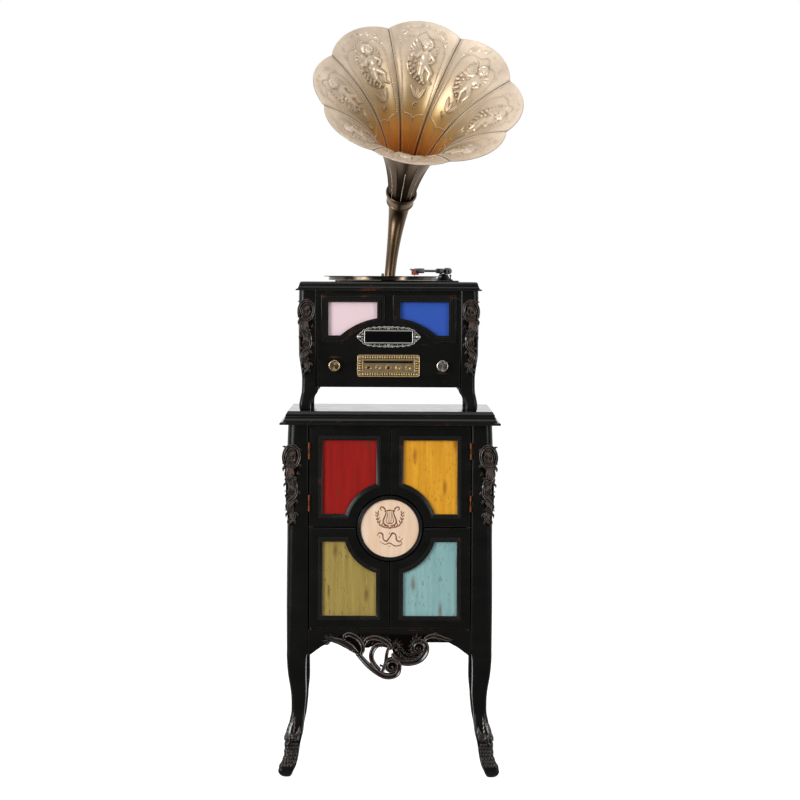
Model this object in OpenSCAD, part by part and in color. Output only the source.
// Gramophone with a flower horn, standing on its matching cabinet.
// X runs to the right, Y to the back and Z up; the cabinet's front faces -Y.

/* [Cabinet] */
// Width over the cabinet's posts
cabinet_w = 512; // [460:1:600]
// Depth over the cabinet's posts
cabinet_d = 360; // [350:1:440]
// Height of the curved legs below the apron
leg_h = 298; // [220:1:360]
// Height of the apron under the doors
apron_h = 77; // [60:1:100]
// Height of the lower doors
lower_door_h = 258; // [220:1:320]
// Height of the upper doors
upper_door_h = 252; // [220:1:320]
// Width of a corner post
post_w = 51.5; // [44:0.5:60]
// Thickness of the cabinet's moulded top
cabinet_top_t = 34; // [26:1:44]
// Overhang of the cabinet's moulded top beyond its posts
cabinet_top_out = 21.5; // [14:0.5:30]
// Height of the top rail that shows above the doors
top_rail_h = 6; // [4:1:20]
// Thickness of the side panels
side_t = 15; // [10:1:20]
// How far the side panels stand back from the posts' faces
side_in = 6; // [2:1:12]
// Thickness of the back panel
back_t = 6; // [4:1:10]
// Thickness of the floor board and of the shelf
shelf_t = 16; // [12:1:22]
// Thickness of the apron board
apron_t = 18; // [12:1:22]

/* [Doors] */
// Thickness of a door frame
door_t = 18; // [14:1:22]
// How far the doors stand back from the posts' faces
door_in = 2; // [1:0.5:5]
// Gap between two doors
door_gap = 2.4; // [2:0.1:4]
// Gap between a door and the post that carries it
hinge_gap = 2; // [2:0.1:3]
// Width of the frame's upright and level members
stile_w = 33; // [24:1:36]
// Height of the member that meets the seam in a lower door
seam_rail_w = 37; // [28:1:40]
// Radius of the curved corner of a door's panel about the medallion
panel_arc_r = 118; // [112:1:122]
// Thickness of a coloured panel
panel_t = 6; // [4:1:8]
// Depth of a panel's face behind the door's face
panel_in = 5; // [3:1:7]
// Width of the ledge that holds a panel
ledge_w = 5; // [3:1:8]
// Width of the raised moulding round a panel
bead_w = 10; // [6:1:12]
// Height of the raised moulding round a panel
bead_h = 3; // [2:0.5:4]
// Length of a hinge's knuckle
hinge_h = 41; // [30:1:50]
// Radius of a hinge's knuckle
knuckle_r = 3.2; // [2.8:0.1:4]
// Radius of a hinge's pin
hinge_pin_r = 1.4; // [1:0.1:1.8]
// Height of the hinges' centres from the upper doors' ends
hinge_end = 60; // [40:1:90]
// Radius of the pivot pins that carry the lower doors
pivot_r = 1.5; // [1.2:0.1:1.8]
// Length of those pivot pins inside a door
pivot_l = 9; // [6:1:14]

/* [Medallion] */
// Outer radius of the black ring
ring_r = 83; // [76:1:86]
// Radius of the wooden disc
disc_r = 73; // [60:1:73]
// Height that the ring stands out of the doors
ring_out = 7; // [4:1:10]
// Gap between the ring and the doors' curved corners
ring_gap = 3; // [2.5:0.5:4]
// Height of the seam between the doors above the medallion's centre
seam_up = 3; // [0:0.5:6]

/* [Unit] */
// Width over the unit's posts
unit_w = 451; // [430:1:480]
// Depth over the unit's posts
unit_d = 346; // [340:1:346]
// How far the unit stands behind the cabinet's front
unit_setback = 12; // [8:1:14]
// How far the unit stands left of the cabinet's centre
unit_left = 5; // [0:1:15]
// Height of the unit's feet
unit_foot_h = 60; // [45:1:75]
// Height of the unit's body
unit_body_h = 243; // [235:1:280]
// Width of a unit post
unit_post_w = 45.5; // [40:0.5:50]
// Thickness of the unit's moulded top
unit_top_t = 22; // [18:1:30]
// How far the unit's top face stands in from the posts
unit_top_in = 5; // [0:1:8]
// Overhang of the moulding beyond that top face
unit_top_out = 13.2; // [9:0.1:18]
// Thickness of the unit's boards
board_t = 12; // [10:1:14]
// How far the front board stands behind the posts
front_in = 3; // [1:0.5:6]

/* [Front] */
// Width of a grille window
window_w = 122.5; // [110:0.5:128]
// Height of a grille window
window_h = 84; // [76:1:92]
// Distance of a window from the centre line
window_in = 29; // [25:1:34]
// Distance of a window from the top of the front board
window_down = 29; // [24:1:34]
// Radius of the arch that cuts the windows' lower corners
arch_r = 183; // [174:1:190]
// How far the arch's centre lies below the front board
arch_down = 7; // [0:1:14]
// Width of the moulding round a window
window_bead_w = 17; // [10:1:20]
// Height of the moulding round a window
window_bead_h = 4; // [2:0.5:6]
// Width of the silver escutcheon
escutcheon_w = 161; // [140:1:180]
// Height of the silver escutcheon
escutcheon_h = 51.5; // [44:0.5:56]
// Width of the display window
display_w = 113; // [100:1:116]
// Height of the display window
display_h = 21; // [16:1:24]
// Height of the display's centre above the front board's lower edge
display_up = 127; // [122:1:132]
// Width of the brass bezel
bezel_w = 157; // [150:1:170]
// Height of the brass bezel
bezel_h = 55.6; // [50:0.2:62]
// Thickness of the brass bezel
bezel_t = 2.5; // [1.5:0.5:4]
// Height of the bezel's centre above the front board's lower edge
bezel_up = 54; // [48:1:58]
// Width of the disc slot
slot_w = 124; // [122:0.5:128]
// Height of the disc slot
slot_h = 5; // [4.6:0.1:6]
// Height of the disc slot above the bezel's centre
slot_up = 9.6; // [8:0.2:12]
// Radius of a push button
button_r = 5.8; // [4:0.1:6.2]
// Distance between two push buttons
button_gap = 25; // [20:0.5:26]
// Distance of the buttons below the bezel's centre
button_down = 5.3; // [4:0.1:8]
// How far a button stands out of the bezel
button_out = 3; // [2:0.5:5]
// Radius of a knob
knob_r = 14.9; // [11:0.1:17]
// Length of a knob
knob_l = 15; // [10:1:20]
// Distance of a knob from the centre line
knob_x = 135.8; // [125:0.1:145]
// Radius of a knob's shaft
shaft_r = 3; // [2:0.5:4]

/* [Turntable] */
// Distance of the spindle left of the unit's centre
spindle_left = 16; // [10:1:20]
// Distance of the spindle behind the unit's front
spindle_y = 148; // [146:1:152]
// Radius of the platter
platter_r = 138.5; // [130:0.5:142]
// Height of the platter
platter_h = 8.4; // [8:0.2:12]
// Radius of the record
record_r = 151; // [145:0.5:151]
// Thickness of the record
record_t = 2; // [1.4:0.1:3]
// Radius of the spindle
spindle_r = 3.55; // [3:0.05:3.6]
// Height of the spindle above the record
spindle_up = 7; // [4:1:12]
// Thickness of the turntable plate
plate_t = 3.5; // [2.5:0.5:5]
// Radius of the platter's drum that the belt runs on
drum_r = 92; // [80:1:98]
// Radius of the motor pulley
pulley_r = 6; // [4:0.5:8]
// Distance between the spindle and the motor
motor_off = 114; // [110:1:118]
// Radius of the motor
motor_r = 15; // [12:1:16]
// Length of the motor
motor_l = 34; // [28:1:40]

/* [Tonearm] */
// Distance of the tonearm's pivot to the right of the spindle
arm_x = 158.6; // [154:0.2:162]
// Distance of the tonearm's pivot behind the spindle
arm_y = 103; // [98:1:108]
// Length from the pivot to the stylus
arm_l = 200; // [196:1:206]
// Playing angle between the arm and the line to the spindle
arm_angle = 34.2; // [30:0.2:38]
// Height of the arm above the record
arm_up = 13.5; // [12:0.5:18]
// Radius of the arm's tube
arm_r = 3.2; // [2.4:0.1:4]
// Radius of the tonearm base at the plate
arm_base_r = 19.5; // [16:0.5:21]

/* [Horn] */
// Distance of the horn's socket right of the unit's centre
horn_right = 2; // [0:1:10]
// Distance of the horn's socket behind the unit's front
horn_y = 318; // [314:1:318]
// Radius of the elbow at its foot
elbow_r0 = 14; // [12:0.5:15]
// Radius of the elbow at the collar
elbow_r1 = 32; // [26:0.5:34]
// Wall of the elbow
elbow_wall = 1.6; // [1:0.1:2.4]
// Height of the collar above the unit's top
collar_up = 219.5; // [200:0.5:240]
// Distance of the collar to the right of the socket
collar_right = 27.6; // [20:0.2:40]
// Radius of the bell's neck
neck_r = 33.9; // [28:0.1:36]
// Length of the bell
bell_l = 373; // [320:1:400]
// Radius of the mouth at its seams
mouth_r = 247.6; // [220:0.1:260]
// How far the petals bulge beyond the seams at the mouth
petal_out = 20.2; // [10:0.2:26]
// How far the petals' tips reach forward of the seams
petal_fwd = 8.2; // [0:0.2:14]
// Wall of the bell
bell_wall = 2; // [1.5:0.1:3]
// Elevation of the bell's axis
horn_elev = 43.05; // [35:0.05:50]
// Turn of the bell to the right
horn_turn = 8.95; // [0:0.05:20]
// Number of petals
petals = 8; // [6:1:10]
// Angle of the first seam
seam_angle = 24.9; // [0:0.1:45]

/* [Hidden] */
$fn = 64;

// Clearances
run_gap = 0.05;      // radial clearance of a shaft in its bore
part_gap = 0.3;      // clearance between pieces that move past each other
eps = 1;             // how far a cut runs past a face

// Heights of the cabinet
door_z = leg_h + apron_h;
seam_z = door_z + lower_door_h;
door_top_z = seam_z + upper_door_h;
board_z = door_top_z + top_rail_h;
top_z = board_z + cabinet_top_t;
medal_z = seam_z - seam_up;

// Widths and depths of the cabinet
half_w = cabinet_w / 2;
open_x = half_w - post_w;
door_edge = open_x - hinge_gap;
door_y = door_in;
door_back = door_y + door_t;
rail_gap = 1;
rail_y = door_back + rail_gap;
rail_t = 16;
rail_h = 40;
shelf_y = rail_y + rail_t;
side_x = half_w - side_in - side_t;
back_y = cabinet_d - back_t - 8;
apron_end_h = apron_h - 7;
apron_mid_h = 34;
apron_flat = 150;
leg_round = 9;
knee_run = 26;

// A curved leg from its foot up: share of the leg's height, how far its outer face stands beyond
// the post's, and the leg's width there
leg_curve = [
    [0, 12, 18], [0.013, 20, 30], [0.044, 24, 38], [0.094, 18, 39], [0.161, 9, 36], [0.245, 3.5, 35],
    [0.302, 3, 36.5], [0.326, 10, 45], [0.35, 8.5, 44], [0.386, 3, 40], [0.49, -5.5, 35.8],
    [0.547, -9, 33.4], [0.661, -8.5, 37.5], [0.745, -6.5, 39.5], [0.872, -1.5, 44], [1, 0.5, 47]
];
foot_reach = max([for (c = leg_curve) c[1]]);

// The same for a unit leg, as a share of the foot's height
unit_waist = 7.5;
unit_leg_curve = [
    [0, -3, 26], [0.1, -1.5, 28], [0.23, -1, 28.5], [0.35, -1.5, 30], [0.57, -4, 34], [0.77, -6.5, 40],
    [0.993, -unit_waist, 43], [0.997, -unit_waist, unit_post_w - unit_waist],
    [1.35, -unit_waist, unit_post_w - unit_waist]
];
unit_leg_round = 7;
unit_bulge_z = 80;

// The moulding of both tops: share of the overhang outward, share of the thickness down
edge_curve = [
    [0, 0], [0.1, 0.03], [0.24, 0.2], [0.31, 0.22], [0.31, 0.38], [0.38, 0.42], [0.43, 0.55],
    [0.56, 0.68], [0.6, 0.76], [0.82, 0.81], [1, 0.86], [1, 0.96], [0.96, 1]
];

// Hinges: a leaf's thickness and width, how far the moving one is let into the door's edge, and how
// far each stands off the hinge line
leaf_t = 0.8;
leaf_w = 14;
leaf_let = 0.5;
leaf_gap = 0.2;
hinge_x = open_x - hinge_gap / 2;
hinge_y = door_y - knuckle_r - part_gap;
pivot_in = 4;
pivot_back = 3;
pivot_x = door_edge - pivot_in;
pivot_y = door_y + pivot_back;
pivot_plate_t = 1;
pivot_plate_w = 12;

// Heights and depths of the unit
unit_z = top_z;
unit_body_z = unit_z + unit_foot_h;
unit_board_z = unit_body_z + unit_body_h;
unit_top_z = unit_board_z + unit_top_t;
unit_half = unit_w / 2;
unit_open = unit_half - unit_post_w;
front_y = unit_setback + front_in;
front_back = front_y + board_t;
unit_back_y = unit_setback + unit_d;
unit_back_t = 5;
unit_side_in = 3;
unit_floor_t = board_t;
deck_z = unit_body_z + unit_floor_t;

// Places on the front board, above its lower edge
window_z = unit_board_z - window_down - window_h;
arch_z = unit_body_z - arch_down;
display_z = unit_body_z + display_up;
bezel_z = unit_body_z + bezel_up;
slot_z = bezel_z + slot_up;
button_z = bezel_z - button_down;
knob_z = bezel_z;
button_hole_r = button_r + part_gap;
button_travel = 1.5;
switch_y = front_back + 12;
pcb_t = 1.6;
pcb_half = knob_x + 14;
grille_in = 5;
grille_t = 4;
grille_ledge = 6;

// The disc player behind the slot
player_w = 150;
player_d = 168;
player_wall = 2;
player_h = 30;
player_z = slot_z - slot_h / 2 - player_wall;
player_y = front_back + part_gap;
player_leg = 8;

// Turntable, stacked on the unit's top
spindle_x = -spindle_left;
spindle_cy = unit_setback + spindle_y;
plate_z = unit_top_z;
plate_top = plate_z + plate_t;
platter_z = plate_top + 0.8;
record_z = platter_z + platter_h;
record_top = record_z + record_t;
platter_skin = 3;
rim_t = 4;
bearing_r = 9;
bearing_l = 26;
shaft_low = platter_z - plate_top + bearing_l - 2 - part_gap;
belt_h = 3.4;
belt_t = 0.8;
belt_z = platter_z + 1;
motor_angle = 215;
motor_x = spindle_x + motor_off * cos(motor_angle);
motor_y = spindle_cy + motor_off * sin(motor_angle);
motor_shaft_r = 1.5;
plate_left = 120;
plate_right = 193;
plate_front = 118;
plate_rear = 134;
plate_round = 14;

// Tonearm
pivot_ax = spindle_x + arm_x;
pivot_ay = spindle_cy + arm_y;
arm_z = record_top + arm_up;
arm_dir = 180 + atan2(arm_y, arm_x) + arm_angle;
yoke_r = 8;
yoke_post_r = 5;
base_h = 15;
arm_pin_r = 1.5;
hub_r = 4.5;
head_l = 30;
head_w = 17;
head_t = 4;
cart_h = 11.5;
weight_r = 8.5;
weight_l = 20;
weight_off = 18;
stylus_gap = part_gap;
lever_right = 17;
lever_front = 44;
lever_x = pivot_ax + lever_right;
lever_y = pivot_ay - lever_front;
lever_pin_r = 1.2;
lever_hub_r = 2.6;
lever_pin_up = 1;
lever_h = 16;
lever_slot_w = 5;
lever_slot_l = 18;
lever_boss_h = 3;
lever_stick_w = 3;
lever_grip_r = 2.8;
lever_grip_down = 4;

// Horn: the elbow's foot, the collar and the straight axis of the bell
socket_x = horn_right;
socket_y = unit_setback + horn_y;
spigot_r = elbow_r0 - 1;
spigot_l = 26;
socket_r = spigot_r + 9;
socket_h = 9;
elbow_z = unit_top_z + socket_h + part_gap;
foot_ring_h = 4.5;
foot_ring_out = 2.5;
foot = [socket_x, socket_y, elbow_z + 2];
collar = [socket_x + collar_right, socket_y, unit_top_z + collar_up];
bell_dir = [
    cos(horn_elev) * sin(horn_turn), -cos(horn_elev) * cos(horn_turn), sin(horn_elev)
];
mouth = collar + bell_l * bell_dir;
elbow_rise = [6, 6, 70];
elbow_lead = 85;
elbow_path = [foot, foot + elbow_rise, collar - elbow_lead * bell_dir, collar];
elbow_rings = 12;
elbow_sides = 28;
flare = 1.305;
neck_petal = 0.04;
petal_round = 0.8;
bell_rings = 15;
petal_steps = 8;
collar_low = 16;
collar_high = 24;
collar_wall = 3.4;

// The origin lies on the floor under the middle of the whole object
lobe_r = mouth_r + petal_out;
reach_right = mouth.x - unit_left + lobe_r * sqrt(1 - pow(bell_dir.x, 2));
reach_front = mouth.y - lobe_r * sqrt(1 - pow(bell_dir.y, 2)) - petal_fwd / 2;
mid_x = (reach_right - half_w - foot_reach) / 2;
mid_y = (reach_front + cabinet_d + foot_reach) / 2;

function unit_vec(v) = v / norm(v);
function bezier(p, t) =
    pow(1 - t, 3) * p[0] + 3 * pow(1 - t, 2) * t * p[1] + 3 * (1 - t) * t * t * p[2] + t * t * t * p[3];
function bezier_dir(p, t) =
    unit_vec(pow(1 - t, 2) * (p[1] - p[0]) + 2 * (1 - t) * t * (p[2] - p[1]) + t * t * (p[3] - p[2]));
function across(dir) = unit_vec(cross([0, 1, 0], dir));
function above(dir) = cross(dir, across(dir));
function turned(dir, angle) = cos(angle) * across(dir) + sin(angle) * above(dir);

// The bell's radius at its seams, its slope and its petals; t runs from the neck to the mouth
function bell_r(t) = neck_r * exp(ln(mouth_r / neck_r) * pow(t, flare));
function bell_slope(t) =
    let (a = max(t - 0.02, 0), b = min(t + 0.02, 1))
    atan((bell_r(b) - bell_r(a)) / (bell_l * (b - a)));
function petal_shape(share) = pow(max(sin(180 * share), 0), petal_round);
function petal_bulge(t) = neck_petal + (petal_out / mouth_r - neck_petal) * t * t;
function bell_point(t, petal, share, wall) =
    let (
        slope = bell_slope(t),
        shape = petal_shape(share),
        r = bell_r(t) * (1 + petal_bulge(t) * shape) - wall * cos(slope),
        along = bell_l * t + petal_fwd * pow(t, 4) * shape + wall * sin(slope) * t
    )
    collar + r * turned(bell_dir, seam_angle + (petal + share) * 360 / petals) + along * bell_dir;
function bell_ring(t, wall) =
    [for (p = [0:petals - 1], s = [0:petal_steps - 1]) bell_point(t, p, s / petal_steps, wall)];
function neck_outer(z) = bell_r(z / bell_l) * (1 + neck_petal);

function elbow_r(t) = elbow_r0 + (elbow_r1 - elbow_r0) * (0.15 * t + 0.85 * pow(t, 2.3));
function elbow_ring(t, wall) =
    [for (i = [0:elbow_sides - 1])
        bezier(elbow_path, t)
            + (elbow_r(t) - wall) * turned(bezier_dir(elbow_path, t), i * 360 / elbow_sides)];

function flat_list(lists) = [for (l = lists) for (p = l) p];

// Points of a square leg section with rounded corners, anticlockwise from above
leg_corners = [[1, 1], [-1, 1], [-1, -1], [1, -1]];
function leg_ring(z, out, w, round) =
    let (r = min(round, w / 3))
    [for (i = [0:3], a = [0, 45, 90])
        [
            -out + w / 2 + leg_corners[i].x * (w / 2 - r) + r * cos(90 * i + a),
            -out + w / 2 + leg_corners[i].y * (w / 2 - r) + r * sin(90 * i + a),
            z
        ]];

// Half an edge moulding's points on one side of a board, from its top down
function edge_side(size, t, out) =
    [for (e = edge_curve) [size / 2 + e[0] * out, -e[1] * t]];
function board_section(size, t, out) =
    let (side = edge_side(size, t, out), n = len(side))
    concat(side, [for (i = [n - 1:-1:0]) [-side[i].x, side[i].y]]);

// A closed solid through a list of rings, capped at both ends
module loft(rings) {
    n = len(rings[0]);
    m = len(rings);
    sides = [for (i = [0:m - 2], j = [0:n - 1])
        each [
            [i * n + j, (i + 1) * n + j, (i + 1) * n + (j + 1) % n],
            [i * n + j, (i + 1) * n + (j + 1) % n, i * n + (j + 1) % n]
        ]];
    low_cap = [[for (j = [0:n - 1]) j]];
    high_cap = [[for (j = [n - 1:-1:0]) (m - 1) * n + j]];
    polyhedron(points = flat_list(rings), faces = concat(sides, low_cap, high_cap));
}

// A closed shell through rings that go up the outside and come back down the inside
module shell(rings) {
    n = len(rings[0]);
    m = len(rings);
    sides = [for (i = [0:m - 1], j = [0:n - 1])
        each [
            [i * n + j, ((i + 1) % m) * n + j, ((i + 1) % m) * n + (j + 1) % n],
            [i * n + j, ((i + 1) % m) * n + (j + 1) % n, i * n + (j + 1) % n]
        ]];
    polyhedron(points = flat_list(rings), faces = sides);
}

// An upright plate from a front view, from depth y over thickness t
module upright(y, t) {
    translate([0, y + t, 0]) rotate([90, 0, 0]) linear_extrude(t) children();
}

// A rod along Y
module rod(x, y, z, r, l) {
    translate([x, y, z]) rotate([-90, 0, 0]) cylinder(r = r, h = l);
}

module both_sides() {
    children();
    mirror([1, 0, 0]) children();
}

module rounded_rect(w, h, r) {
    for (sx = [-1, 1], sy = [-1, 1])
        translate([sx * (w / 2 - r), sy * (h / 2 - r)]) circle(r = r);
    square([w - 2 * r, h], center = true);
    square([w, h - 2 * r], center = true);
}

// A board with the moulding on all four edges, its top at z = 0 and centred
module moulded_board(w, d, t, out) {
    intersection() {
        rotate([90, 0, 0])
            linear_extrude(d + 2 * out + 2 * eps, center = true) polygon(board_section(w, t, out));
        rotate([90, 0, 90])
            linear_extrude(w + 2 * out + 2 * eps, center = true) polygon(board_section(d, t, out));
    }
}

// Everything in the unit is placed from the unit's own centre line
module in_unit() {
    translate([-unit_left, 0, 0]) children();
}

// The row's frame: origin on the floor under the middle
module placed() {
    translate([-mid_x, -mid_y, 0]) children();
}

module cabinet_top() {
    color("#151412")
        translate([0, cabinet_d / 2, top_z])
        moulded_board(cabinet_w, cabinet_d, cabinet_top_t, cabinet_top_out);
}

module cabinet_leg() {
    rings = concat(
        [for (c = leg_curve) leg_ring(c[0] * leg_h, c[1], c[2], leg_round)],
        [leg_ring(leg_h + knee_run, 0, post_w, leg_round), leg_ring(board_z, 0, post_w, leg_round)]
    );
    translate([-half_w, 0, 0]) loft(rings);
}

module cabinet_legs() {
    color("#151412")
        both_sides() {
            cabinet_leg();
            translate([0, cabinet_d, 0]) mirror([0, 1, 0]) cabinet_leg();
        }
}

module cabinet_sides() {
    color("#151412")
        both_sides()
        translate([side_x, post_w, leg_h + knee_run])
        cube([side_t, cabinet_d - 2 * post_w, board_z - leg_h - knee_run]);
}

module cabinet_back() {
    color("#1c1a17")
        translate([-open_x, back_y, leg_h + knee_run])
        cube([2 * open_x, back_t, board_z - leg_h - knee_run]);
}

// A board inside the cabinet, notched round the four posts
module inner_board(z, y) {
    difference() {
        translate([-side_x, y, z]) cube([2 * side_x, back_y - y, shelf_t]);
        for (sx = [-1, 1], cy = [0, cabinet_d])
            translate([sx * half_w, cy, z + shelf_t / 2])
                cube([2 * post_w, 2 * post_w, shelf_t + 2 * eps], center = true);
    }
}

module cabinet_floor() {
    color("#2a211a") inner_board(door_z - shelf_t, door_y + apron_t);
}

module cabinet_shelf() {
    color("#2a211a") inner_board(seam_z - shelf_t / 2, shelf_y);
}

// The mid rail with the round boss that carries the medallion, and the rail over the doors
module cabinet_rails() {
    color("#151412") {
        translate([-open_x, rail_y, seam_z - rail_h / 2]) cube([2 * open_x, rail_t, rail_h]);
        rod(0, door_y, medal_z, ring_r - 6, rail_gap + door_t + eps);
        translate([-open_x, rail_y, board_z - rail_h / 2]) cube([2 * open_x, rail_t, rail_h / 2]);
        translate([-open_x, door_y, door_top_z]) cube([2 * open_x, rail_y - door_y + eps, top_rail_h]);
    }
}

// The apron from the front, z counted from the doors' lower edge
module apron_shape() {
    polygon([
        [-open_x, -door_gap], [-open_x, -apron_end_h], [-apron_flat - 22, -apron_mid_h - 12],
        [-apron_flat, -apron_mid_h], [apron_flat, -apron_mid_h], [apron_flat + 22, -apron_mid_h - 12],
        [open_x, -apron_end_h], [open_x, -door_gap]
    ]);
}

module cabinet_apron() {
    color("#151412") translate([0, 0, door_z]) upright(door_y, apron_t) apron_shape();
}

// The pierced scroll carving under the apron, right of and below the medallion
carving_out = 8;
carving_behind = 8;
carving_outline = [
    [-170, 4], [-158, 14], [-140, 8], [-118, 12], [-96, 16], [-70, 14], [-40, 12], [-14, 16], [8, 10],
    [34, 12], [52, 24], [60, 8], [76, 22], [92, 20], [104, 24], [118, 14], [140, 16], [158, 6],
    [138, 4], [112, 2], [98, -14], [84, -34], [58, -42], [34, -38], [22, -56], [10, -74], [-4, -78],
    [-24, -72], [-46, -56], [-64, -38], [-86, -22], [-110, -8], [-140, -2]
];
carving_holes = [[-58, -14, 13], [-22, -34, 15], [6, -16, 8], [62, -16, 11]];

module carving_shape() {
    translate([0, -apron_mid_h])
        difference() {
            polygon(carving_outline);
            for (h = carving_holes) translate([h[0], h[1]]) circle(r = h[2]);
        }
}

module apron_carving() {
    color("#241410")
        translate([0, 0, door_z]) {
            upright(door_y - carving_out, carving_out) carving_shape();
            upright(door_y - eps, carving_behind + eps)
                difference() {
                    carving_shape();
                    apron_shape();
                }
        }
}

module medallion_ring() {
    color("#131211")
        translate([0, door_y, medal_z])
        rotate([90, 0, 0])
        rotate_extrude()
        polygon([
            [disc_r, 0], [ring_r, 0], [ring_r, ring_out - 3], [ring_r - 1, ring_out - 1],
            [ring_r - 3, ring_out], [disc_r + 3, ring_out], [disc_r + 1, ring_out - 1],
            [disc_r, ring_out - 3]
        ]);
}

module medallion_disc() {
    color("#dfb78f") rod(0, door_y - ring_out + 4, medal_z, disc_r - 0.2, ring_out - 4);
}

// A door seen from the front: x outward from the centre line, z away from the seam.
// centre is the medallion's height, counted the same way.
module door_shape(h, centre) {
    difference() {
        translate([door_gap / 2, door_gap / 2])
            square([door_edge - door_gap / 2, h - door_gap]);
        translate([0, centre]) circle(r = ring_r + ring_gap);
    }
}

module panel_shape(h, near, centre, grow) {
    difference() {
        translate([stile_w + door_gap / 2 - grow, near - grow])
            square([door_edge - 2 * stile_w - door_gap / 2 + 2 * grow, h - near - stile_w + 2 * grow]);
        translate([0, centre]) circle(r = panel_arc_r - grow);
    }
}

module door_frame(h, near, centre) {
    difference() {
        union() {
            upright(door_y, door_t) door_shape(h, centre);
            upright(door_y - bead_h, bead_h + eps) panel_shape(h, near, centre, bead_w);
        }
        upright(door_y - bead_h - eps, door_t + bead_h + 2 * eps) panel_shape(h, near, centre, 0);
        upright(door_y + panel_in, door_t) panel_shape(h, near, centre, ledge_w);
    }
}

module door_panel(h, near, centre) {
    upright(door_y + panel_in, panel_t) panel_shape(h, near, centre, ledge_w - part_gap);
}

// Heights of the upper hinges
function hinge_heights() = [seam_z + hinge_end, door_top_z - hinge_end];

// The half of a hinge that moves with the door: a leaf and the middle knuckle
module moving_leaf(z) {
    difference() {
        union() {
            translate([door_edge - leaf_let, hinge_y, z - hinge_h / 6 + part_gap])
                cube([hinge_x - leaf_gap - door_edge + leaf_let, leaf_w, hinge_h / 3 - 2 * part_gap]);
            translate([hinge_x, hinge_y, z - hinge_h / 6 + part_gap])
                cylinder(r = knuckle_r, h = hinge_h / 3 - 2 * part_gap);
        }
        translate([hinge_x, hinge_y, z - hinge_h / 2])
            cylinder(r = hinge_pin_r + run_gap, h = hinge_h);
    }
}

// The half that is let into the post: a leaf, two knuckles and the pin
module fixed_leaf(z) {
    for (s = [-1, 1])
        translate([hinge_x, hinge_y, z + s * hinge_h / 3 - hinge_h / 6])
            cylinder(r = knuckle_r, h = hinge_h / 3);
    translate([hinge_x, hinge_y, z - hinge_h / 2]) cylinder(r = hinge_pin_r, h = hinge_h);
    difference() {
        translate([hinge_x + leaf_gap, hinge_y, z - hinge_h / 2]) cube([leaf_t, leaf_w, hinge_h]);
        translate([hinge_x, hinge_y, z])
            cube([4 * leaf_w, 2 * (knuckle_r + part_gap), hinge_h / 3], center = true);
    }
}

// Pivot plates and pins that carry a lower door at its top and its foot
module pivots() {
    translate([pivot_x, pivot_y, seam_z - pivot_l]) cylinder(r = pivot_r, h = pivot_l);
    translate([pivot_x - pivot_plate_w / 2, door_y, seam_z - pivot_plate_t / 2])
        cube([open_x - pivot_x + pivot_plate_w / 2, pivot_plate_w, pivot_plate_t]);
    translate([pivot_x, pivot_y, door_z - door_gap]) cylinder(r = pivot_r, h = pivot_l + door_gap);
}

module door_hinges() {
    color("#a9674b")
        both_sides() {
            for (z = hinge_heights()) fixed_leaf(z);
            pivots();
        }
}

module upper_door() {
    translate([0, 0, seam_z]) door_frame(upper_door_h, stile_w, -seam_up);
    for (z = hinge_heights()) moving_leaf(z);
}

module lower_door() {
    difference() {
        translate([0, 0, seam_z]) mirror([0, 0, 1]) door_frame(lower_door_h, seam_rail_w, seam_up);
        translate([pivot_x, pivot_y, seam_z - pivot_l - part_gap])
            cylinder(r = pivot_r + run_gap, h = pivot_l);
        translate([pivot_x, pivot_y, door_z]) cylinder(r = pivot_r + run_gap, h = pivot_l + part_gap);
    }
}

module door_upper_left() { color("#151412") mirror([1, 0, 0]) upper_door(); }
module door_upper_right() { color("#151412") upper_door(); }
module door_lower_left() { color("#151412") mirror([1, 0, 0]) lower_door(); }
module door_lower_right() { color("#151412") lower_door(); }

module upper_panel() {
    translate([0, 0, seam_z]) door_panel(upper_door_h, stile_w, -seam_up);
}

module lower_panel() {
    translate([0, 0, seam_z]) mirror([0, 0, 1]) door_panel(lower_door_h, seam_rail_w, seam_up);
}

module panel_upper_left() { color("#8e1912") mirror([1, 0, 0]) upper_panel(); }
module panel_upper_right() { color("#d99c22") upper_panel(); }
module panel_lower_left() { color("#94843a") mirror([1, 0, 0]) lower_panel(); }
module panel_lower_right() { color("#7fb9b4") lower_panel(); }

// A hanging scroll carving's outline: x from the post's outer edge inward, z down from its top.
// Both are shares of the carving's width and height.
scroll_outline = [
    [0.3, 0], [0.62, 0.02], [0.92, 0.1], [1, 0.2], [0.86, 0.28], [1, 0.36], [0.84, 0.46], [0.94, 0.54],
    [0.78, 0.62], [0.86, 0.7], [0.66, 0.78], [0.72, 0.88], [0.5, 1], [0.3, 0.94], [0.22, 0.82],
    [0.3, 0.7], [0.16, 0.6], [0.24, 0.48], [0.08, 0.38], [0.14, 0.26], [0, 0.16], [0.08, 0.05]
];
scroll_t = 9;

module scroll(w, h) {
    polygon([for (p = scroll_outline) [p[0] * w, -p[1] * h]]);
}

cabinet_scroll = [48, 212, 48, 16];
unit_scroll = [40, 196, 20, 2];

module post_carvings() {
    color("#241410") {
        both_sides()
            translate([-half_w - cabinet_scroll[3], 0, board_z - cabinet_scroll[2]])
            upright(-scroll_t, scroll_t) scroll(cabinet_scroll[0], cabinet_scroll[1]);
        in_unit()
            both_sides()
            translate([-unit_half - unit_scroll[3], 0, unit_board_z - unit_scroll[2]])
            upright(unit_setback - scroll_t, scroll_t) scroll(unit_scroll[0], unit_scroll[1]);
    }
}

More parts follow.
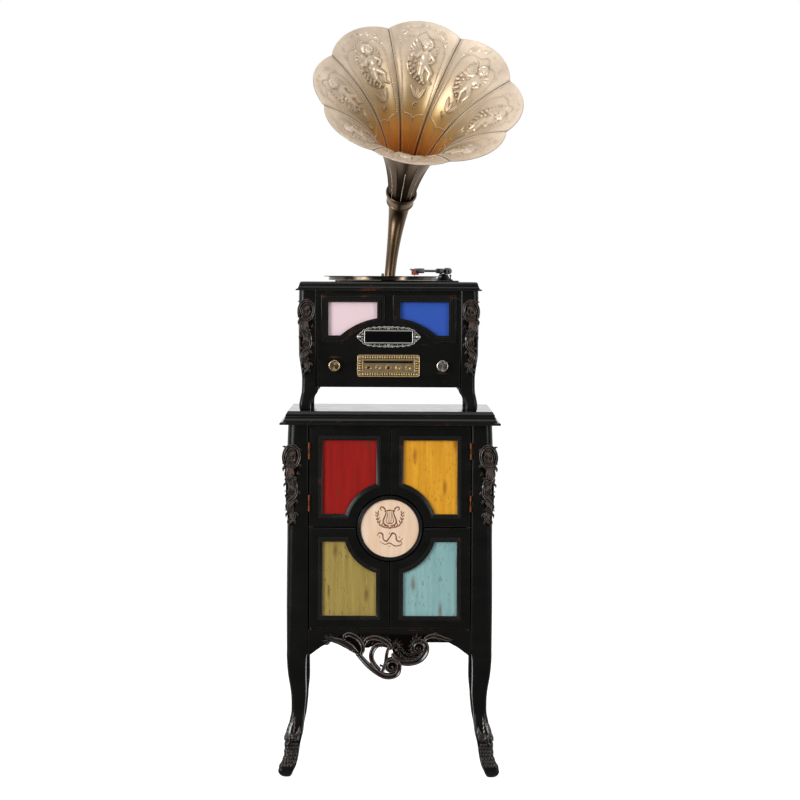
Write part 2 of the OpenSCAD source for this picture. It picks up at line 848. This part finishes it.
module unit_top() {
    color("#151412")
        in_unit()
        difference() {
            translate([0, unit_setback + unit_d / 2, unit_top_z])
                moulded_board(unit_w - 2 * unit_top_in, unit_d - 2 * unit_top_in, unit_top_t, unit_top_out);
            translate([spindle_x, spindle_cy, unit_board_z - eps])
                cylinder(r = bearing_r + 1, h = unit_top_t + 2 * eps);
            translate([motor_x, motor_y, unit_board_z - eps])
                cylinder(r = motor_r + 1.5, h = unit_top_t + 2 * eps);
            translate([socket_x, socket_y, unit_board_z - eps])
                cylinder(r = spigot_r + 4, h = unit_top_t + 2 * eps);
        }
}

module unit_leg() {
    rings = concat(
        [for (c = unit_leg_curve) leg_ring(c[0] * unit_foot_h, c[1], c[2], unit_leg_round)],
        [
            leg_ring(unit_foot_h + unit_bulge_z, 0, unit_post_w, unit_leg_round),
            leg_ring(unit_board_z - unit_z, 0, unit_post_w, unit_leg_round)
        ]
    );
    translate([-unit_half, unit_setback, unit_z]) loft(rings);
}

module unit_legs() {
    color("#151412")
        in_unit()
        both_sides() {
            unit_leg();
            translate([0, 2 * unit_setback + unit_d, 0]) mirror([0, 1, 0]) unit_leg();
        }
}

module unit_sides() {
    color("#151412")
        in_unit()
        both_sides()
        translate([unit_half - unit_side_in - board_t - 8, unit_setback + unit_post_w, unit_body_z])
        cube([board_t, unit_d - 2 * unit_post_w, unit_body_h]);
}

inlet_x = 90;
inlet_w = 30;
inlet_h = 22;
inlet_up = 40;
inlet_d = 30;
inlet_wall = 4;
inlet_flange = 10;
inlet_flange_t = 2;
vent_w = 70;
vent_h = 4;
vent_up = 60;
vent_gap = 12;
unit_back_in = 4;

module unit_back() {
    color("#1c1a17")
        in_unit()
        difference() {
            translate([-unit_open, unit_back_y - unit_back_t - unit_back_in, unit_body_z])
                cube([2 * unit_open, unit_back_t, unit_body_h]);
            translate([inlet_x, unit_back_y, unit_body_z + inlet_up])
                cube([inlet_w, 8 * unit_back_t, inlet_h], center = true);
            for (i = [0:5])
                translate([-inlet_x, unit_back_y, unit_body_z + vent_up + vent_gap * i])
                    cube([vent_w, 8 * unit_back_t, vent_h], center = true);
        }
}

module unit_floor() {
    color("#2a211a")
        in_unit()
        translate([-unit_open, front_back, unit_body_z])
        cube([2 * unit_open, unit_back_y - unit_back_t - unit_back_in - front_back, unit_floor_t]);
}

module window_shape(grow) {
    difference() {
        translate([window_in - grow, window_z - grow])
            square([window_w + 2 * grow, window_h + 2 * grow]);
        translate([0, arch_z]) circle(r = arch_r - grow);
    }
}

module unit_front() {
    color("#151412")
        in_unit()
        difference() {
            union() {
                translate([-unit_open, front_y, unit_body_z]) cube([2 * unit_open, board_t, unit_body_h]);
                both_sides() {
                    upright(front_y - window_bead_h / 2, window_bead_h / 2 + eps)
                        window_shape(window_bead_w);
                    upright(front_y - window_bead_h, window_bead_h + eps) window_shape(window_bead_w / 2);
                }
            }
            both_sides() {
                upright(front_y - 2 * window_bead_h, board_t + 3 * window_bead_h) window_shape(0);
                upright(front_y + grille_in, board_t) window_shape(grille_ledge);
                rod(knob_x, front_y - eps, knob_z, shaft_r + 1, board_t + 2 * eps);
            }
            translate([-display_w / 2 + 2, front_y - eps, display_z - display_h / 2 + 2])
                cube([display_w - 4, board_t + 2 * eps, display_h - 4]);
            translate([-slot_w / 2, front_y - eps, slot_z - slot_h / 2])
                cube([slot_w, board_t + 2 * eps, slot_h]);
            for (i = [-2:2]) rod(i * button_gap, front_y - eps, button_z, button_hole_r, board_t + 2 * eps);
        }
}

module grille() {
    upright(front_y + grille_in, grille_t) window_shape(grille_ledge - part_gap);
}

module grille_left() { color("#efd1dc") in_unit() mirror([1, 0, 0]) grille(); }
module grille_right() { color("#2f57b9") in_unit() grille(); }

speaker_r = 40;
speaker_d = 42;
magnet_r = 27;
speaker_plate = 3;

module speaker() {
    cx = window_in + window_w / 2;
    cz = window_z + window_h / 2;
    difference() {
        translate([cx, front_back, cz]) upright(0, speaker_plate)
            square([window_w + 2 * grille_ledge + 4, window_h + 2 * grille_ledge + 4], center = true);
        rod(cx, front_back - eps, cz, speaker_r - 3, speaker_plate + 2 * eps);
    }
    translate([cx, front_back + speaker_plate, cz]) rotate([-90, 0, 0])
        rotate_extrude()
        polygon([
            [speaker_r, 0], [speaker_r, 3], [magnet_r - 4, speaker_d - 16], [magnet_r, speaker_d - 16],
            [magnet_r, speaker_d], [0, speaker_d], [0, 14], [10, 14], [speaker_r - 5, 0]
        ]);
}

module speakers() { color("#2b2b2d") in_unit() both_sides() speaker(); }

escutcheon_t = 3;

module scalloped(w, h) {
    lens_r = (w * w + h * h) / (4 * h);
    intersection() {
        translate([0, lens_r - h / 2]) circle(r = lens_r);
        translate([0, h / 2 - lens_r]) circle(r = lens_r);
    }
    square([0.72 * w, 0.78 * h], center = true);
    for (i = [-3:3], s = [-1, 1])
        translate([i * w / 9.5, s * (h / 2 - w / 19 - abs(i) * 0.8)]) circle(r = w / 19);
}

module display_escutcheon() {
    color("#b9b9b4")
        in_unit()
        translate([0, 0, display_z])
        difference() {
            upright(front_y - escutcheon_t, escutcheon_t) scalloped(escutcheon_w, escutcheon_h);
            upright(front_y - 2 * escutcheon_t, 3 * escutcheon_t)
                square([display_w, display_h], center = true);
        }
}

module display_window() {
    color("#080808")
        in_unit()
        translate([0, 0, display_z]) {
            upright(front_y - escutcheon_t + 1, escutcheon_t - 1)
                square([display_w - 0.4, display_h - 0.4], center = true);
            upright(front_y - eps, board_t + eps)
                square([display_w - 5, display_h - 5], center = true);
        }
}

module control_bezel() {
    color("#b09a5e")
        in_unit()
        difference() {
            translate([0, 0, bezel_z]) upright(front_y - bezel_t, bezel_t) rounded_rect(bezel_w, bezel_h, 6);
            translate([-slot_w / 2, front_y - bezel_t - eps, slot_z - slot_h / 2])
                cube([slot_w, bezel_t + 2 * eps, slot_h]);
            for (i = [-2:2])
                rod(i * button_gap, front_y - bezel_t - eps, button_z, button_hole_r, bezel_t + 2 * eps);
        }
}

module cd_player() {
    color("#8d8f92")
        in_unit() {
            difference() {
                translate([-player_w / 2, player_y, player_z]) cube([player_w, player_d, player_h]);
                translate([-slot_w / 2, player_y - eps, player_z + player_wall])
                    cube([slot_w, player_d - 20, slot_h]);
                translate([-slot_w / 2, player_y + 20, player_z + player_wall + slot_h + 2])
                    cube([slot_w, player_d - 30, player_h - slot_h - 3 * player_wall - 2]);
            }
            both_sides()
                translate([player_w / 2 - player_leg, switch_y + 8, deck_z])
                cube([player_leg, player_d - 40, player_z - deck_z + eps]);
        }
}

module button(i) {
    stem_y = front_back + 4;
    color("#b8a36a")
        in_unit() {
            rod(i * button_gap, front_y - bezel_t - button_out, button_z, button_r,
                stem_y - front_y + bezel_t + button_out);
            rod(i * button_gap, stem_y - eps, button_z, button_r / 2,
                switch_y - stem_y + eps - button_travel - part_gap);
        }
}

module button_1() { button(-2); }
module button_2() { button(-1); }
module button_3() { button(0); }
module button_4() { button(1); }
module button_5() { button(2); }

knob_shaft_l = board_t + 14;
knob_edge = 2;
knob_rim = 5;
knob_dish = 2.5;

module knob(x) {
    color("#a98f57")
        in_unit()
        translate([x, front_y - part_gap, knob_z])
        rotate([90, 0, 0])
        rotate_extrude()
        polygon([
            [0, -knob_shaft_l], [shaft_r, -knob_shaft_l], [shaft_r, 0], [knob_r, 0],
            [knob_r, knob_l - knob_edge - 1], [knob_r - knob_edge, knob_l], [knob_r - knob_rim, knob_l],
            [knob_r - knob_rim - 2, knob_l - 1.5], [0, knob_l - knob_dish]
        ]);
}

module knob_left() { knob(-knob_x); }
module knob_right() { knob(knob_x); }

// Control board behind the front: volume and tuning controls, push switches and two spacers
pot_r = 9;
pot_bore_l = 20;
switch_r = 3;
switch_l = 5;
board_foot = 4;
spacer_x = 100;
spacer_w = 8;
board_y = switch_y + switch_l;

module control_board() {
    color("#2f5c3a")
        in_unit() {
            difference() {
                union() {
                    translate([-pcb_half, board_y, deck_z + board_foot])
                        cube([2 * pcb_half, pcb_t, player_z - deck_z - 1.5 * board_foot]);
                    both_sides() rod(knob_x, front_back, knob_z, pot_r, board_y + eps - front_back);
                }
                both_sides() rod(knob_x, front_back - eps, knob_z, shaft_r + run_gap, pot_bore_l);
            }
            for (i = [-2:2]) rod(i * button_gap, switch_y, button_z, switch_r, switch_l + eps);
            both_sides()
                translate([spacer_x, front_back, deck_z + 1.5 * board_foot])
                cube([spacer_w, board_y + eps - front_back, spacer_w]);
        }
}

// Amplifier behind the disc player: a board on four standoffs, its transformer, heat sink and
// four capacitors
amp_back = 30;
amp_w = 280;
amp_d = 90;
standoff_h = 8;
standoff_r = 3;
standoff_in = 8;
transformer = [62, 54, 50];
transformer_at = [-120, 15];
heat_sink = [70, 16, 34];
heat_sink_at = [30, 10];
capacitor_r = 8;
capacitor_h = 30;
capacitor_x = -19;
capacitor_y = 45;
capacitor_gap = [22, 30];

module amplifier() {
    color("#3d6b45")
        in_unit()
        translate([0, player_y + player_d + amp_back, deck_z]) {
            translate([-amp_w / 2, 0, standoff_h]) cube([amp_w, amp_d, pcb_t]);
            for (s = [-1, 1], y = [standoff_in, amp_d - standoff_in])
                translate([s * (amp_w / 2 - standoff_in), y, 0])
                    cylinder(r = standoff_r, h = standoff_h + eps);
            translate([transformer_at.x, transformer_at.y, standoff_h]) cube(transformer);
            translate([heat_sink_at.x, heat_sink_at.y, standoff_h]) cube(heat_sink);
            for (sx = [-0.5, 0.5], sy = [-0.5, 0.5])
                translate([
                    capacitor_x + sx * capacitor_gap.x,
                    capacitor_y + sy * capacitor_gap.y,
                    standoff_h
                ])
                    cylinder(r = capacitor_r, h = capacitor_h);
        }
}

module power_inlet() {
    color("#101010")
        in_unit()
        translate([inlet_x, unit_back_y - unit_back_t - unit_back_in, unit_body_z + inlet_up])
        difference() {
            union() {
                translate([0, -inlet_d / 3, 0])
                    cube([inlet_w - 2 * part_gap, inlet_d, inlet_h - 2 * part_gap], center = true);
                translate([0, unit_back_t + inlet_flange_t / 2, 0])
                    cube([inlet_w + inlet_flange, inlet_flange_t, inlet_h + 6], center = true);
            }
            translate([0, 2 * inlet_wall, 0])
                cube([inlet_w - 2 * inlet_wall, inlet_d, inlet_h - 10], center = true);
        }
}

module turntable_plate() {
    color("#141414")
        in_unit()
        difference() {
            union() {
                translate([
                    spindle_x + (plate_right - plate_left) / 2,
                    spindle_cy + (plate_rear - plate_front) / 2,
                    plate_z
                ])
                    linear_extrude(plate_t)
                    rounded_rect(plate_left + plate_right, plate_front + plate_rear, plate_round);
                translate([spindle_x, spindle_cy, plate_top - bearing_l])
                    cylinder(r = bearing_r, h = bearing_l);
                translate([lever_x, lever_y, plate_top])
                    cube([lever_slot_w + 7, lever_slot_l + 6, 2 * lever_boss_h], center = true);
            }
            translate([spindle_x, spindle_cy, plate_top - bearing_l + 2])
                cylinder(r = journal_r + run_gap, h = bearing_l);
            translate([motor_x, motor_y, plate_z - eps])
                cylinder(r = motor_shaft_r + 1, h = plate_t + 2 * eps);
            translate([lever_x, lever_y, plate_top])
                cube([lever_slot_w, lever_slot_l, 2 * lever_boss_h + 2 * eps], center = true);
            translate([lever_x, lever_y, plate_top + lever_pin_up])
                rotate([0, 90, 0])
                cylinder(r = lever_pin_r + run_gap, h = lever_slot_w + 4, center = true);
        }
}

// The spindle turns in its bearing on a thicker journal. Above the platter it has a relief that
// lets the record lie flat, then the round pin, and its tip is a short cone.
journal_r = 4.2;
relief_in = 0.4;
relief_over = 0.2;
spindle_cone = 2;
relief_r = spindle_r - relief_in;
hub_r_out = 14;
hub_up = 0.4;
drum_wall = 4;
rim_round = 0.8;

module platter() {
    spindle_top = platter_h + record_t + spindle_up;
    color("#8f7a5c")
        in_unit()
        translate([spindle_x, spindle_cy, platter_z])
        rotate_extrude()
        polygon([
            [0, -shaft_low], [journal_r, -shaft_low], [journal_r, hub_up], [hub_r_out, hub_up],
            [hub_r_out, platter_h - platter_skin], [drum_r - drum_wall, platter_h - platter_skin],
            [drum_r - drum_wall, hub_up], [drum_r, hub_up], [drum_r, platter_h - platter_skin],
            [platter_r - rim_t, platter_h - platter_skin], [platter_r - rim_t, 0],
            [platter_r - rim_round, 0], [platter_r, rim_round], [platter_r, platter_h - 1],
            [platter_r - 1, platter_h], [relief_r, platter_h],
            [relief_r, platter_h + record_t + relief_over],
            [spindle_r, platter_h + record_t + relief_over],
            [spindle_r, spindle_top - spindle_cone], [spindle_r - spindle_cone, spindle_top],
            [0, spindle_top]
        ]);
}

module record() {
    color("#0d0d0e")
        in_unit()
        translate([spindle_x, spindle_cy, record_z])
        difference() {
            cylinder(r = record_r, h = record_t);
            translate([0, 0, -eps]) cylinder(r = spindle_r + run_gap, h = record_t + 2 * eps);
        }
}

motor_bore_l = 16;

module motor() {
    color("#9a9c9e")
        in_unit()
        translate([motor_x, motor_y, plate_z - motor_l])
        difference() {
            cylinder(r = motor_r, h = motor_l);
            translate([0, 0, motor_l - motor_bore_l])
                cylinder(r = motor_shaft_r + run_gap, h = motor_bore_l + eps);
        }
}

pulley_shaft_in = motor_bore_l - 2;
pulley_over = 0.4;

module motor_pulley() {
    color("#c8b06a")
        in_unit()
        translate([motor_x, motor_y, 0]) {
            translate([0, 0, plate_z - pulley_shaft_in])
                cylinder(r = motor_shaft_r, h = belt_z - plate_z + pulley_shaft_in + eps);
            translate([0, 0, belt_z - pulley_over]) cylinder(r = pulley_r, h = belt_h + 2 * pulley_over);
        }
}

// The belt round the drum and the pulley: two arcs joined by the straight runs that touch both
belt_turn = acos((drum_r - pulley_r) / motor_off);
big_steps = 60;
small_steps = 12;

module belt_outline(grow) {
    big = drum_r + part_gap + grow;
    small = pulley_r + part_gap + grow;
    polygon(concat(
        [for (i = [0:big_steps])
            let (a = belt_turn + i * (360 - 2 * belt_turn) / big_steps) [big * cos(a), big * sin(a)]],
        [for (i = [0:small_steps])
            let (a = -belt_turn + i * 2 * belt_turn / small_steps)
            [motor_off + small * cos(a), small * sin(a)]]
    ));
}

module belt() {
    color("#1a1a1a")
        in_unit()
        translate([spindle_x, spindle_cy, belt_z])
        rotate([0, 0, motor_angle])
        linear_extrude(belt_h)
        difference() {
            belt_outline(belt_t);
            belt_outline(0);
        }
}

base_lip = 4;
base_floor = 2;

module tonearm_base() {
    color("#141414")
        in_unit()
        translate([pivot_ax, pivot_ay, plate_top])
        difference() {
            cylinder(r1 = arm_base_r, r2 = yoke_r + base_lip, h = base_h);
            translate([0, 0, base_floor]) cylinder(r = yoke_post_r + run_gap, h = base_h);
        }
}

// The yoke turns in the base and holds the arm's level pin between two cheeks
cheek_t = 3;
cheek_in = 7;
cheek_w = 10;
cheek_over = 4;
yoke_foot_h = 2.4;
yoke_foot_over = 1;
pin_in = 0.5;

module tonearm_yoke() {
    top = plate_top + base_h + part_gap;
    color("#141414")
        in_unit()
        translate([pivot_ax, pivot_ay, 0])
        rotate([0, 0, arm_dir]) {
            translate([0, 0, plate_top + base_floor + 1]) cylinder(r = yoke_post_r, h = base_h);
            translate([0, 0, top]) cylinder(r = cheek_in + cheek_t + yoke_foot_over, h = yoke_foot_h);
            for (s = [-1, 1])
                translate([0, s * (cheek_in + cheek_t / 2), (top + arm_z + cheek_over) / 2])
                    cube([cheek_w, cheek_t, arm_z + cheek_over - top], center = true);
            translate([0, cheek_in + cheek_t - pin_in, arm_z])
                rotate([90, 0, 0])
                cylinder(r = arm_pin_r, h = 2 * (cheek_in + cheek_t - pin_in));
        }
}

head_back = 4;
head_ahead = 10;
head_up = 1;
head_socket_l = 12;

module tonearm() {
    hub = cheek_in - part_gap;
    color("#1b1b1b")
        in_unit()
        translate([pivot_ax, pivot_ay, arm_z])
        rotate([0, 0, arm_dir])
        difference() {
            union() {
                rotate([0, 90, 0]) cylinder(r = arm_r, h = arm_l - head_l);
                rotate([90, 0, 0]) cylinder(r = hub_r, h = 2 * hub, center = true);
                translate([-weight_l - weight_off, 0, 0])
                    rotate([0, 90, 0]) cylinder(r = weight_r, h = weight_l);
                translate([-weight_off - eps, 0, 0])
                    rotate([0, 90, 0]) cylinder(r = arm_r, h = weight_off + 2 * eps);
                translate([arm_l - head_l - head_back, -head_w / 2, head_up])
                    cube([head_l + head_back + head_ahead, head_w, head_t]);
                translate([arm_l - head_l - head_back, 0, 0])
                    rotate([0, 90, 0]) cylinder(r = arm_r + 1, h = head_socket_l);
            }
            rotate([90, 0, 0]) cylinder(r = arm_pin_r + run_gap, h = 4 * hub, center = true);
        }
}

cart_w = 12;
cart_l = 20;
cart_behind = 14;
stylus_r = 0.6;
stylus_root_r = 2;
stylus_in = 8;

module cartridge() {
    color("#a32a20")
        in_unit()
        translate([pivot_ax, pivot_ay, arm_z])
        rotate([0, 0, arm_dir]) {
            translate([arm_l - cart_behind, -cart_w / 2, head_up - cart_h]) cube([cart_l, cart_w, cart_h]);
            translate([arm_l, 0, -arm_up + stylus_gap])
                cylinder(r1 = stylus_r, r2 = stylus_root_r, h = arm_up - stylus_in);
        }
}

module speed_lever() {
    color("#151515")
        in_unit()
        translate([lever_x, lever_y, plate_top + lever_pin_up]) {
            rotate([0, 90, 0]) cylinder(r = lever_hub_r, h = lever_slot_w - 2 * part_gap, center = true);
            rotate([0, 90, 0]) cylinder(r = lever_pin_r, h = lever_slot_w + 3, center = true);
            translate([-lever_stick_w / 2, -lever_stick_w / 2, 0])
                cube([lever_stick_w, lever_stick_w, lever_h - lever_grip_down]);
            translate([0, 0, lever_h - lever_grip_down]) sphere(r = lever_grip_r);
        }
}

socket_flange_h = 3;
socket_wall = 3;

module horn_socket() {
    color("#6d5b43")
        in_unit()
        translate([socket_x, socket_y, unit_top_z])
        difference() {
            union() {
                cylinder(r = socket_r, h = socket_flange_h);
                cylinder(r1 = socket_r - 3, r2 = spigot_r + socket_wall, h = socket_h);
                translate([0, 0, -unit_top_t])
                    cylinder(r = spigot_r + socket_wall, h = unit_top_t + eps);
            }
            translate([0, 0, -unit_top_t - eps])
                cylinder(r = spigot_r + run_gap, h = unit_top_t + socket_h + 2 * eps);
        }
}

driver_r = spigot_r + 5;
driver_h = 34;
throat_l = 8;

module horn_driver() {
    color("#3a3a3c")
        in_unit()
        translate([socket_x, socket_y, unit_board_z - driver_h])
        difference() {
            cylinder(r = driver_r, h = driver_h);
            translate([0, 0, driver_h - throat_l]) cylinder(r = spigot_r - 2, h = throat_l + eps);
        }
}

module horn_elbow() {
    color("#6b5a48")
        in_unit() {
            shell(concat(
                [for (i = [0:elbow_rings]) elbow_ring(i / elbow_rings, 0)],
                [for (i = [elbow_rings:-1:0]) elbow_ring(i / elbow_rings, elbow_wall)]
            ));
            translate([socket_x, socket_y, elbow_z - spigot_l])
                difference() {
                    union() {
                        cylinder(r = spigot_r, h = spigot_l + foot_ring_h);
                        translate([0, 0, spigot_l])
                            cylinder(r = elbow_r0 + foot_ring_out, h = foot_ring_h);
                    }
                    translate([0, 0, -eps])
                        cylinder(r = spigot_r - elbow_wall, h = spigot_l + foot_ring_h + 2 * eps);
                }
        }
}

// Puts what follows on the bell's axis, at the collar
module on_collar() {
    translate(collar)
        rotate([0, 0, horn_turn - 90])
        rotate([0, 90 - horn_elev, 0])
        children();
}

module horn_collar() {
    lip_r = neck_outer(collar_high) + part_gap;
    seat_r = neck_outer(0) + part_gap;
    hole_r = elbow_r1 + part_gap;
    color("#7a6750")
        in_unit()
        on_collar()
        rotate_extrude()
        polygon([
            [hole_r, -collar_low], [hole_r + 2, -collar_low], [hole_r + 3.5, -collar_low + 2],
            [hole_r + 3.5, -collar_low + 5], [hole_r + 2.2, -collar_low + 7], [lip_r + 1, collar_high - 11],
            [lip_r + collar_wall, collar_high - 8], [lip_r + collar_wall, collar_high - 2],
            [lip_r + collar_wall - 1.2, collar_high], [lip_r, collar_high], [seat_r, 0], [hole_r, 0]
        ]);
}

module horn_bell() {
    color("#cdba9c")
        in_unit()
        shell(concat(
            [for (i = [0:bell_rings]) bell_ring(i / bell_rings, 0)],
            [for (i = [bell_rings:-1:0]) bell_ring(i / bell_rings, bell_wall)]
        ));
}

placed() cabinet_top();
placed() cabinet_legs();
placed() cabinet_sides();
placed() cabinet_back();
placed() cabinet_floor();
placed() cabinet_shelf();
placed() cabinet_rails();
placed() cabinet_apron();
placed() apron_carving();
placed() post_carvings();
placed() medallion_ring();
placed() medallion_disc();
placed() door_upper_left();
placed() door_upper_right();
placed() door_lower_left();
placed() door_lower_right();
placed() panel_upper_left();
placed() panel_upper_right();
placed() panel_lower_left();
placed() panel_lower_right();
placed() door_hinges();
placed() unit_top();
placed() unit_legs();
placed() unit_sides();
placed() unit_back();
placed() unit_floor();
placed() unit_front();
placed() grille_left();
placed() grille_right();
placed() speakers();
placed() display_escutcheon();
placed() display_window();
placed() control_bezel();
placed() cd_player();
placed() button_1();
placed() button_2();
placed() button_3();
placed() button_4();
placed() button_5();
placed() knob_left();
placed() knob_right();
placed() control_board();
placed() amplifier();
placed() power_inlet();
placed() turntable_plate();
placed() platter();
placed() record();
placed() motor();
placed() motor_pulley();
placed() belt();
placed() tonearm_base();
placed() tonearm_yoke();
placed() tonearm();
placed() cartridge();
placed() speed_lever();
placed() horn_socket();
placed() horn_driver();
placed() horn_elbow();
placed() horn_collar();
placed() horn_bell();
